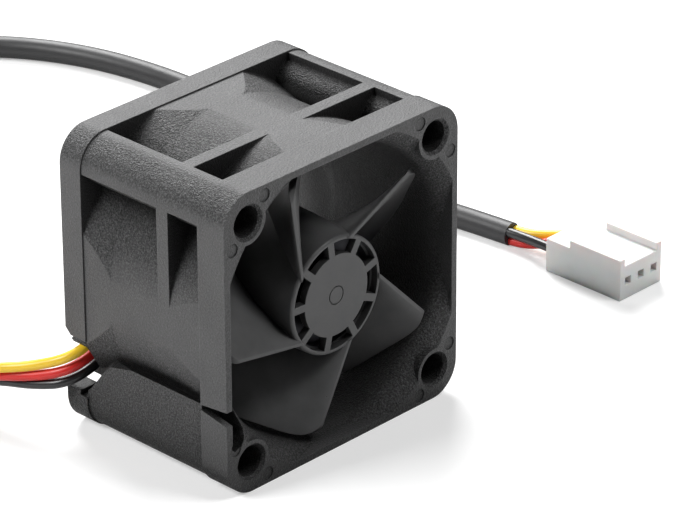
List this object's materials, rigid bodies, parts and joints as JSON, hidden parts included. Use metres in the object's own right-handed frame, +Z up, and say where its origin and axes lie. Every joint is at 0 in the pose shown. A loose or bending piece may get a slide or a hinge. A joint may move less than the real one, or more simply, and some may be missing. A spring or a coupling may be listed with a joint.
{
  "type": "cooling fan",
  "caption": "Small square axial cooling fan with a swept-blade impeller in a ribbed black housing, and a three-wire lead that ends in a white plug.",
  "frame": {"origin": "under the middle of the square housing, on the surface that it stands on", "axes": "+X to the right seen from the intake, +Y along the fan axis from the intake back to the outlet, +Z up"},
  "size_m": [0.0949, 0.1249, 0.04],
  "materials": {
    "housing_plastic": "black moulded plastic with a fine eroded grain",
    "impeller_plastic": "black moulded plastic, smooth satin",
    "brass": "turned brass",
    "bearing_steel": "ground steel",
    "cage_brass": "stamped brass strip",
    "core_steel": "pressed steel sheet",
    "insulator_plastic": "natural nylon",
    "coil_enamel": "enamelled copper wire",
    "board_laminate": "green solder mask on glass laminate",
    "tinned_metal": "tin plate and solder",
    "chip_epoxy": "moulded epoxy",
    "magnet_rubber": "bonded ferrite",
    "sleeve_black": "soft black tubing",
    "wire_yellow": "soft vinyl insulation",
    "wire_red": "soft vinyl insulation",
    "wire_black": "soft vinyl insulation",
    "plug_nylon": "natural white nylon"
  },
  "bodies": {
    "housing": {"housing": "housing_plastic", "bearing_tube": "brass", "front_bearing_outer_ring": "bearing_steel", "rear_bearing_outer_ring": "bearing_steel", "front_bearing_shields": "bearing_steel", "rear_bearing_shields": "bearing_steel", "stator_core": "core_steel", "front_insulator": "insulator_plastic", "rear_insulator": "insulator_plastic", "stator_coils": "coil_enamel", "circuit_board": "board_laminate", "coil_pins": "tinned_metal", "driver_chip": "chip_epoxy", "hall_sensor": "chip_epoxy", "board_resistors": "chip_epoxy", "solder_joints": "tinned_metal", "lead_sleeve": "sleeve_black", "yellow_wire": "wire_yellow", "red_wire": "wire_red", "black_wire": "wire_black", "yellow_wire_end": "wire_yellow", "red_wire_end": "wire_red", "black_wire_end": "wire_black", "plug_housing": "plug_nylon", "plug_terminals": "tinned_metal"},
    "rotor": {"impeller": "impeller_plastic", "rotor_yoke": "core_steel", "magnet_ring": "magnet_rubber", "hub_bush": "brass", "rotor_shaft": "bearing_steel", "front_bearing_inner_ring": "bearing_steel", "rear_bearing_inner_ring": "bearing_steel", "preload_spring": "bearing_steel", "thrust_washer": "insulator_plastic", "retaining_clip": "bearing_steel"},
    "front_ball_train": {"front_bearing_balls": "bearing_steel", "front_bearing_cage": "cage_brass"},
    "rear_ball_train": {"rear_bearing_balls": "bearing_steel", "rear_bearing_cage": "cage_brass"}
  },
  "joints": [
    {"name": "rotor_spin", "type": "hinge", "parent": "housing", "child": "rotor", "pos_m": [0, 0, 0.02], "axis": [0, 1, 0], "continuous": true},
    {"name": "front_balls_spin", "type": "hinge", "parent": "housing", "child": "front_ball_train", "pos_m": [0, 0, 0.02], "axis": [0, 1, 0], "continuous": true},
    {"name": "rear_balls_spin", "type": "hinge", "parent": "housing", "child": "rear_ball_train", "pos_m": [0, 0, 0.02], "axis": [0, 1, 0], "continuous": true}
  ],
  "couplings": [
    {"joint": "front_balls_spin", "follows": "rotor_spin", "ratio": 0.4},
    {"joint": "rear_balls_spin", "follows": "rotor_spin", "ratio": 0.4}
  ]
}
